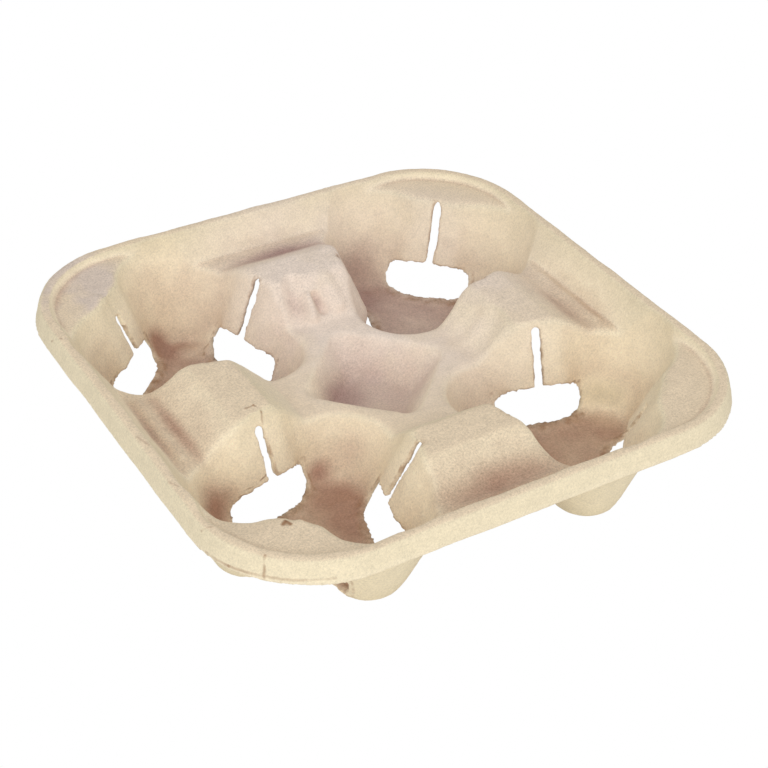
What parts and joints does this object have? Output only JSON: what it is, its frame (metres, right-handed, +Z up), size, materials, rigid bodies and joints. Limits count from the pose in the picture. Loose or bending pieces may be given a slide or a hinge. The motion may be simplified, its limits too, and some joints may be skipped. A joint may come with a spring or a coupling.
{
  "type": "cup carrier",
  "caption": "Moulded pulp cup carrier tray with lobed wells for drinks, raised posts between them, a square centre pocket and a turned-down rim.",
  "frame": {"origin": "centre of the tray, on the plane under its feet", "axes": "+Z up out of the wells, X and Y square to the rim's sides"},
  "size_m": [0.2192, 0.2192, 0.046],
  "materials": {
    "pulp": "dry matt moulded fibre with fine specks"
  },
  "bodies": {
    "root": {"cup_carrier": "pulp"}
  },
  "joints": []
}
